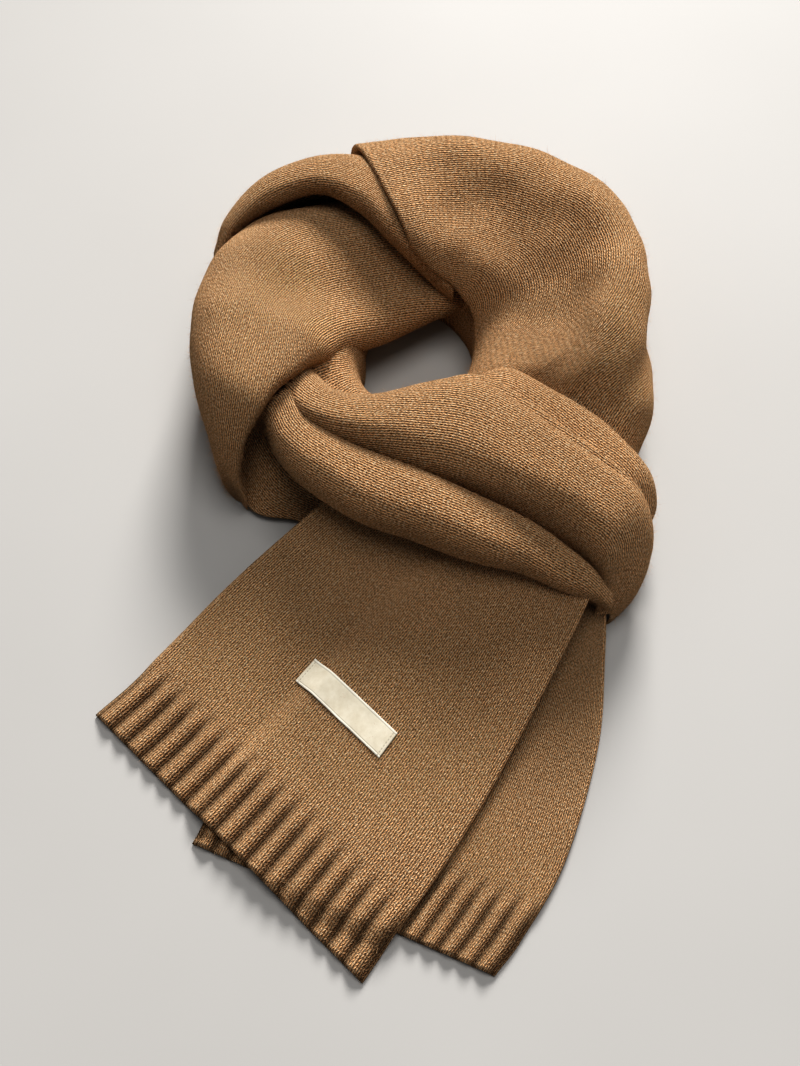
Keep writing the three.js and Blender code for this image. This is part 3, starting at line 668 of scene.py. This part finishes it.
def nap_piece(name, points, normals, count, seed):
    rng = np.random.default_rng(seed)
    rows, columns = points.shape[:2]
    i = rng.uniform(0.5, rows - 1.5, count)
    j = rng.uniform(0.5, columns - 1.5, count)
    a = i.astype(int)
    b = j.astype(int)
    root = points[a, b] + (points[a + 1, b] - points[a, b]) * (i - a)[:, None]
    root = root + (points[a, b + 1] - points[a, b]) * (j - b)[:, None]
    normal = normals[a, b]
    slant = unit(rng.normal(size=(count, 3)))
    lean = unit(np.cross(normal, slant))
    way = unit(normal * rng.uniform(0.15, 1.0, (count, 1)) + lean)
    bend = unit(rng.normal(size=(count, 3))) * 0.9
    length = rng.uniform(0.25, 1.0, (count, 1))**1.6 * NAP_LONGEST
    strips = []
    for share in FIBRE_SHARES:
        centre = root - normal * 0.3 + (way * share + bend * share**2 * 0.5) * length
        half = unit(np.cross(way, bend)) * FIBRE_HALF_WIDTH * (1 - 0.7 * share)
        strips.append(np.stack([centre - half, centre + half], axis=1))
    fibres = np.stack(strips, axis=1).reshape(count, 8, 3)
    fibres[:, :, 2] = np.maximum(fibres[:, :, 2], FIBRE_HALF_WIDTH)
    base = (np.arange(count) * 8)[:, None, None]
    quads = np.array([[0, 1, 3, 2], [2, 3, 5, 4], [4, 5, 7, 6]])[None]
    faces = (base + quads).reshape(-1, 4)
    uvs = np.zeros((faces.size, 2))
    return mesh_object(name, fibres.reshape(-1, 3), faces.tolist(), uvs)


# Label

def label_grid(steps_wide, steps_long):
    def place(row, across):
        return tail_points(TAIL_FRONT, np.array([row]), np.array([across]), True)[0, 0]
    centre = place(LABEL_ROW, LABEL_ACROSS)
    row_reach = np.linalg.norm(place(LABEL_ROW + 1, LABEL_ACROSS) - centre)
    across_reach = np.linalg.norm(place(LABEL_ROW, LABEL_ACROSS + 0.1) - centre) * 10
    rows = LABEL_ROW + LABEL_WIDE * np.linspace(-0.5, 0.5, steps_wide) / row_reach
    across = LABEL_ACROSS + LABEL_LONG * np.linspace(-0.5, 0.5, steps_long) / across_reach
    return tail_points(TAIL_FRONT, rows, across, True)


def label_piece(name):
    wide, long = 39, 141
    points = label_grid(wide, long)
    s = np.linspace(0, 1, wide)[:, None]
    t = np.linspace(0, 1, long)[None, :]
    ripple = 0.35 * np.sin(t * 21 + s * 2.1) * np.sin(math.pi * t) + 0.3 * np.sin(t * 8.3 + 1.0 - s * 1.4)
    puff = 0.5 * np.sin(math.pi * s)**0.4 * np.sin(math.pi * t)**0.25
    points[:, :, 2] += 0.75 + puff + ripple * np.sin(math.pi * s)**0.5
    sag = 0.35 * np.sin(math.pi * t) * (s - 0.5)
    side = unit(points[-1, 0] - points[0, 0])
    points = points + side * (sag * 0.6)[:, :, None]
    normals = net_normals(points)
    lower = points - normals * LABEL_THICK
    loops = np.concatenate([points, lower[:, ::-1]], axis=1)
    size = loops.shape[1]
    i = np.arange(wide - 1)[:, None]
    j = np.arange(size)[None, :]
    n = (j + 1) % size
    quads = np.stack([i * size + j, i * size + n, (i + 1) * size + n, (i + 1) * size + j], axis=2)
    quads = quads.reshape(-1, 4)
    uv_j = np.concatenate([np.arange(long), np.arange(long)[::-1]]) / (long - 1) * LABEL_LONG
    uv_i = np.arange(wide) / (wide - 1) * LABEL_WIDE
    u = np.stack([uv_j[j], uv_j[n], uv_j[n], uv_j[j]], axis=2) + np.zeros((wide - 1, 1, 1))
    v = np.stack([uv_i[i], uv_i[i], uv_i[i + 1], uv_i[i + 1]], axis=2) + np.zeros((1, size, 1))
    uvs = np.stack([u, v], axis=3).reshape(-1, 2)
    a = np.arange(long - 1)
    ends = []
    end_uvs = []
    for row, turned in ((0, False), (wide - 1, True)):
        strip = np.stack([a + 1, a, size - 1 - a, size - 2 - a], axis=1) + row * size
        ends.append(strip[:, ::-1] if turned else strip)
        strip_u = np.stack([uv_j[a + 1], uv_j[a], uv_j[a], uv_j[a + 1]], axis=1)
        strip_u = strip_u[:, ::-1] if turned else strip_u
        end_uvs.append(np.stack([strip_u.ravel(), np.full(strip_u.size, uv_i[row])], axis=1))
    faces = np.concatenate([quads, *ends]).tolist()
    obj = mesh_object(name, loops.reshape(-1, 3), faces, np.concatenate([uvs, *end_uvs]))
    facing_out(obj)
    return obj


# Materials

WOOL = (0.96, 0.54, 0.26, 1)
# pale flecks, partly the yarn's own tone and partly painted highlight, since they sit on the raised lumps
# and fibres
PALE_FLECK_AND_HIGHLIGHT = (1.0, 0.83, 0.58, 1)
# SHADE is painted shade, the colour of the gaps between the stitches
SHADE = (0.085, 0.022, 0.004, 1)
# darkest colour: painted shade in the low lumps and the rib troughs, and random dark specks of the yarn's
# own tone
DARK_SPECK_AND_SHADE = (0.035, 0.009, 0.001, 1)


def nodes_of(name):
    material = bpy.data.materials.new(name)
    material.use_nodes = True
    tree = material.node_tree
    shader = next(n for n in tree.nodes if n.type == "BSDF_PRINCIPLED")
    return material, tree, shader


def linked(tree, socket, value):
    if isinstance(value, (int, float)):
        socket.default_value = value
    elif isinstance(value, tuple):
        socket.default_value = value
    else:
        tree.links.new(value, socket)


def maths(tree, operation, a, b=0.0, c=0.0):
    node = tree.nodes.new("ShaderNodeMath")
    node.operation = operation
    for socket, value in zip(node.inputs, (a, b, c)):
        linked(tree, socket, value)
    return node.outputs[0]


def blend(tree, share, a, b, kind="MIX"):
    node = tree.nodes.new("ShaderNodeMix")
    node.data_type = "RGBA"
    node.blend_type = kind
    linked(tree, node.inputs["Factor"], share)
    linked(tree, node.inputs[6], a)
    linked(tree, node.inputs[7], b)
    return node.outputs[2]


def noise(tree, vector, scale, detail=2.0, rough=0.5):
    node = tree.nodes.new("ShaderNodeTexNoise")
    linked(tree, node.inputs["Vector"], vector)
    node.inputs["Scale"].default_value = scale
    node.inputs["Detail"].default_value = detail
    node.inputs["Roughness"].default_value = rough
    return node.outputs[0]


def mapped(tree, value, from_low, from_high, to_low, to_high):
    node = tree.nodes.new("ShaderNodeMapRange")
    linked(tree, node.inputs["Value"], value)
    node.inputs["From Min"].default_value = from_low
    node.inputs["From Max"].default_value = from_high
    node.inputs["To Min"].default_value = to_low
    node.inputs["To Max"].default_value = to_high
    return node.outputs[0]


def coordinates(tree, kind):
    if kind == "UV":
        node = tree.nodes.new("ShaderNodeUVMap")
        node.uv_map = "stitches"
        return node.outputs[0]
    node = tree.nodes.new("ShaderNodeTexCoord")
    return node.outputs[kind]


def knit_material(name, ribbed=False):
    """Plain knitting: each stitch is two slanting legs side by side, in columns up the cloth"""
    material, tree, shader = nodes_of(name)
    places = coordinates(tree, "UV")
    solid = coordinates(tree, "Object")
    split = tree.nodes.new("ShaderNodeSeparateXYZ")
    tree.links.new(places, split.inputs[0])
    wander_u = mapped(tree, noise(tree, places, 0.7, 2.0), 0, 1, -0.18, 0.18)
    wander_v = mapped(tree, noise(tree, places, 0.5, 2.0), 0, 1, -0.6, 0.6)
    u = maths(tree, "ADD", split.outputs[0], wander_u)
    v = maths(tree, "ADD", split.outputs[1], wander_v)
    column = maths(tree, "SUBTRACT", maths(tree, "FRACT", u), 0.5)
    side = maths(tree, "MULTIPLY", maths(tree, "ABSOLUTE", column), 2.0)
    turn = maths(tree, "FRACT", maths(tree, "MULTIPLY_ADD", side, 1.0, v))
    leg = maths(tree, "POWER", maths(tree, "SINE", maths(tree, "MULTIPLY", turn, math.pi)), 0.7)
    rope = maths(tree, "POWER", maths(tree, "SINE", maths(tree, "MULTIPLY", side, math.pi)), 0.8)
    stitch = maths(tree, "MULTIPLY", rope, maths(tree, "MULTIPLY_ADD", leg, 0.62, 0.38))
    fibres = noise(tree, solid, 2200, 3.0, 0.65)
    lumps = noise(tree, places, 1.7, 2.0, 0.5)
    height = maths(tree, "MULTIPLY_ADD", fibres, 0.35, stitch)
    height = maths(tree, "MULTIPLY_ADD", lumps, 0.45, height)
    # Painted shade: the gaps between the stitches' legs are coloured SHADE, and only the crests keep WOOL
    crest = mapped(tree, stitch, 0.25, 0.80, 0.0, 1.0)
    tone = blend(tree, crest, SHADE, WOOL)
    # Painted highlight on the raised lumps: they are lightened towards the pale flecks' colour
    tone = blend(tree, mapped(tree, lumps, 0.5, 0.70, 0.0, 0.6), tone, PALE_FLECK_AND_HIGHLIGHT)
    # Painted shade in the low lumps of the surface
    tone = blend(tree, mapped(tree, lumps, 0.46, 0.30, 0.0, 0.5), tone, DARK_SPECK_AND_SHADE)
    # Painted highlight on the raised fibres, lightened the same way
    tone = blend(tree, mapped(tree, fibres, 0.52, 0.70, 0.0, 0.6), tone, PALE_FLECK_AND_HIGHLIGHT)
    # Random dark specks, the yarn's own tone
    tone = blend(tree, mapped(tree, noise(tree, solid, 1500, 2.0, 0.7), 0.54, 0.68, 0.0, 0.75), tone, DARK_SPECK_AND_SHADE)
    if ribbed:
        phase = maths(tree, "MULTIPLY", split.outputs[0], 2 * math.pi / STITCHES_A_RIB)
        trough = maths(tree, "MULTIPLY_ADD", maths(tree, "COSINE", phase), 0.5, 0.5)
        fade_start = RIB_DEPTH * 0.75 / STITCH_TALL
        fade_end = RIB_DEPTH * 1.25 / STITCH_TALL
        fade = mapped(tree, split.outputs[1], fade_start, fade_end, 1.0, 0.0)
        trough = maths(tree, "MULTIPLY", maths(tree, "POWER", trough, 1.6), fade)
        # Painted shade in the rib troughs, which are also sunk by the bump below
        tone = blend(tree, maths(tree, "MULTIPLY", trough, 0.85), tone, DARK_SPECK_AND_SHADE)
        height = maths(tree, "MULTIPLY_ADD", trough, -1.1, height)
    broad = mapped(tree, noise(tree, solid, 14, 2.0), 0.3, 0.7, 0.92, 1.07)
    shade = tree.nodes.new("ShaderNodeCombineColor")
    for socket in shade.inputs[:3]:
        tree.links.new(broad, socket)
    tone = blend(tree, 1.0, tone, shade.outputs[0], "MULTIPLY")
    tree.links.new(tone, shader.inputs["Base Color"])
    bump = tree.nodes.new("ShaderNodeBump")
    bump.inputs["Strength"].default_value = 1.0
    bump.inputs["Distance"].default_value = 0.0022
    tree.links.new(height, bump.inputs["Height"])
    tree.links.new(bump.outputs[0], shader.inputs["Normal"])
    shader.inputs["Roughness"].default_value = 1.0
    shader.inputs["Specular IOR Level"].default_value = 0.04
    shader.inputs["Sheen Weight"].default_value = 0.3
    shader.inputs["Sheen Roughness"].default_value = 0.4
    shader.inputs["Sheen Tint"].default_value = (1.0, 0.74, 0.46, 1)
    return material


def nap_material():
    material, tree, shader = nodes_of("loose_fibres")
    solid = coordinates(tree, "Object")
    share = mapped(tree, noise(tree, solid, 300, 2.0), 0.35, 0.65, 0.0, 1.0)
    tone = blend(tree, share, (0.42, 0.22, 0.085, 1), (0.78, 0.50, 0.27, 1))
    tree.links.new(tone, shader.inputs["Base Color"])
    shader.inputs["Roughness"].default_value = 0.7
    shader.inputs["Sheen Weight"].default_value = 0.3
    return material


def label_material():
    """A narrow woven tape, blank, with a raised border along each long edge"""
    material, tree, shader = nodes_of("woven_label")
    places = coordinates(tree, "UV")
    solid = coordinates(tree, "Object")
    split = tree.nodes.new("ShaderNodeSeparateXYZ")
    tree.links.new(places, split.inputs[0])
    warp = maths(tree, "SINE", maths(tree, "MULTIPLY", split.outputs[0], 2 * math.pi / 0.42))
    weft = maths(tree, "SINE", maths(tree, "MULTIPLY", split.outputs[1], 2 * math.pi / 0.36))
    weave = maths(tree, "MULTIPLY", warp, weft)
    from_edge_mm = maths(tree, "SUBTRACT", LABEL_WIDE / 2,
                         maths(tree, "ABSOLUTE", maths(tree, "SUBTRACT", split.outputs[1], LABEL_WIDE / 2)))
    border = mapped(tree, from_edge_mm, 1.0, 1.5, 1.0, 0.0)
    groove = maths(tree, "MULTIPLY", mapped(tree, from_edge_mm, 1.1, 1.5, 0.0, 1.0),
                   mapped(tree, from_edge_mm, 1.6, 2.0, 1.0, 0.0))
    from_end_mm = maths(tree, "SUBTRACT", LABEL_LONG / 2,
                        maths(tree, "ABSOLUTE", maths(tree, "SUBTRACT", split.outputs[0], LABEL_LONG / 2)))
    turned = mapped(tree, from_end_mm, 3.2, 3.6, 1.0, 0.0)
    seam = maths(tree, "MULTIPLY", mapped(tree, from_end_mm, 1.5, 1.7, 0.0, 1.0),
                 mapped(tree, from_end_mm, 2.1, 2.3, 1.0, 0.0))
    dash = maths(tree, "SINE", maths(tree, "MULTIPLY", split.outputs[1], 2 * math.pi / 2.3))
    seam = maths(tree, "MULTIPLY", seam, mapped(tree, dash, -0.2, 0.1, 0.0, 1.0))
    height = maths(tree, "MULTIPLY_ADD", weave, 0.25, border)
    height = maths(tree, "MULTIPLY_ADD", turned, 0.7, height)
    height = maths(tree, "MULTIPLY_ADD", seam, -1.6, height)
    height = maths(tree, "MULTIPLY_ADD", groove, -0.8, height)
    bump = tree.nodes.new("ShaderNodeBump")
    bump.inputs["Strength"].default_value = 0.8
    bump.inputs["Distance"].default_value = 0.0002
    tree.links.new(height, bump.inputs["Height"])
    tree.links.new(bump.outputs[0], shader.inputs["Normal"])
    mottled = mapped(tree, noise(tree, solid, 240, 3.0), 0.3, 0.7, 0.0, 1.0)
    tone = blend(tree, mottled, (0.76, 0.69, 0.54, 1), (0.86, 0.80, 0.66, 1))
    # Painted highlight: each raised border is lighter
    tone = blend(tree, border, tone, (0.92, 0.88, 0.77, 1))
    # Painted shade in the groove inside each border
    tone = blend(tree, maths(tree, "MULTIPLY", groove, 0.5), tone, (0.42, 0.38, 0.32, 1))
    tone = blend(tree, maths(tree, "MULTIPLY", seam, 0.55), tone, (0.40, 0.33, 0.24, 1))
    threads = maths(tree, "MULTIPLY", mapped(tree, weave, 0.2, 0.9, 0.0, 1.0), 0.16)
    tone = blend(tree, threads, tone, (0.5, 0.45, 0.36, 1))
    tree.links.new(tone, shader.inputs["Base Color"])
    shader.inputs["Roughness"].default_value = 0.72
    shader.inputs["Specular IOR Level"].default_value = 0.3
    shader.inputs["Sheen Weight"].default_value = 0.15
    return material


def floor_material():
    material, tree, shader = nodes_of("pale_floor")
    solid = coordinates(tree, "Object")
    share = mapped(tree, noise(tree, solid, 3.0, 3.0), 0.3, 0.7, 0.0, 1.0)
    tone = blend(tree, share, (0.425, 0.417, 0.405, 1), (0.445, 0.437, 0.425, 1))
    tree.links.new(tone, shader.inputs["Base Color"])
    shader.inputs["Roughness"].default_value = 0.6
    shader.inputs["Specular IOR Level"].default_value = 0.25
    return material


# Camera, light and floor

# Place and size in metres, watts, tone
LIGHTS = {
    "window": ((1.4, 8.2, 4.7), 3.0, 1300, (1.0, 0.98, 0.955)),
    "ceiling": ((0.3, 0.3, 2.6), 1.6, 25, (1.0, 0.985, 0.965)),
}
ROOM_TONE = (0.97, 0.98, 1.0, 1)
ROOM_STRENGTH = 0.16
FLOOR_HALF = 3.0


def build_camera():
    data = bpy.data.cameras.new("camera")
    camera = bpy.data.objects.new("camera", data)
    bpy.context.collection.objects.link(camera)
    data.sensor_width = SENSOR
    data.lens = SENSOR * FOCAL_PX / PICTURE_TALL_PX
    data.clip_start = 0.01
    tilt = math.radians(ELEVATION)
    camera.location = (
        -TABLE_X * MM,
        -DISTANCE * math.cos(tilt) - TABLE_Y * MM,
        DISTANCE * math.sin(tilt),
    )
    camera.rotation_euler = (math.pi / 2 - tilt, 0, 0)
    bpy.context.scene.camera = camera


def build_light():
    world = bpy.data.worlds.new("room")
    world.use_nodes = True
    background = world.node_tree.nodes["Background"]
    background.inputs[0].default_value = ROOM_TONE
    background.inputs[1].default_value = ROOM_STRENGTH
    bpy.context.scene.world = world
    for name, (place, size, watts, tone) in LIGHTS.items():
        area_light(name, place, size, watts, tone)
    view = bpy.context.scene.view_settings
    view.view_transform = "Standard"
    view.look = "High Contrast"


def area_light(name, place, size, watts, tone):
    data = bpy.data.lights.new(name, "AREA")
    data.energy = watts
    data.size = size
    data.color = tone
    lamp = bpy.data.objects.new(name, data)
    bpy.context.collection.objects.link(lamp)
    lamp.location = place
    lamp.rotation_euler = (-Vector(place)).to_track_quat("-Z", "Y").to_euler()


def build_floor(material):
    half = FLOOR_HALF
    corners = [(-half, -half, 0), (half, -half, 0), (half, half, 0), (-half, half, 0)]
    mesh = bpy.data.meshes.new("floor")
    mesh.from_pydata(corners, [], [(0, 1, 2, 3)])
    floor = bpy.data.objects.new("floor", mesh)
    bpy.context.collection.objects.link(floor)
    floor.data.materials.append(material)


# The scarf

build_camera()
build_light()
build_floor(floor_material())
knit = knit_material("wool_knit")
loose = nap_material()

FOLDS = {
    "ring_left": (RING_LEFT, True, 160, 120, 3),
    "ring_top": (RING_TOP, True, 90, 100, 4),
    "ring_right": (RING_RIGHT, False, 170, 130, 5),
    "band_upper": (BAND_UPPER, True, 130, 80, 6),
    "band_back": (BAND_BACK, False, 90, 44, 7),
    "band_lower": (BAND_LOWER, False, 110, 50, 8),
}


def dress(piece, node, material):
    piece.data.materials.append(material)
    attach(piece, BODY)
    if node:
        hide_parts(node)


def flat_size(points):
    wide = reach_along(points, 1)[:, -1].mean() * MM
    long = reach_along(points, 0)[-1].mean() * MM
    return float(wide), float(long)


made = {}
for name, (table, lip, sections, columns, seed) in FOLDS.items():
    made[name] = fold_piece(name + "_cloth", table, lip, sections, columns, CREASES.get(name, ()), seed)
ribbed = knit_material("wool_knit_ribbed", True)
made["tail_front"] = tail_piece("tail_front_cloth", TAIL_FRONT, True, 120, 9)
made["tail_rear"] = tail_piece("tail_rear_cloth", TAIL_REAR, False, 100, 10)
made["band_return"] = flat_piece("band_return_cloth", BAND_RETURN, 40, 30, 11)

for number, (name, (piece, points, normals)) in enumerate(made.items()):
    dress(piece, name, ribbed if name.startswith("tail") else knit)
    area = flat_size(points)[0] * flat_size(points)[1]
    nap = nap_piece(name + "_nap", points, normals, int(area * 1e6 * NAP_DENSITY), 20 + number)
    dress(nap, None, loose)

core = core_piece("core_cloth", 220, 60)
dress(core, "core", knit)

label = label_piece("label_tape")
dress(label, "label", label_material())
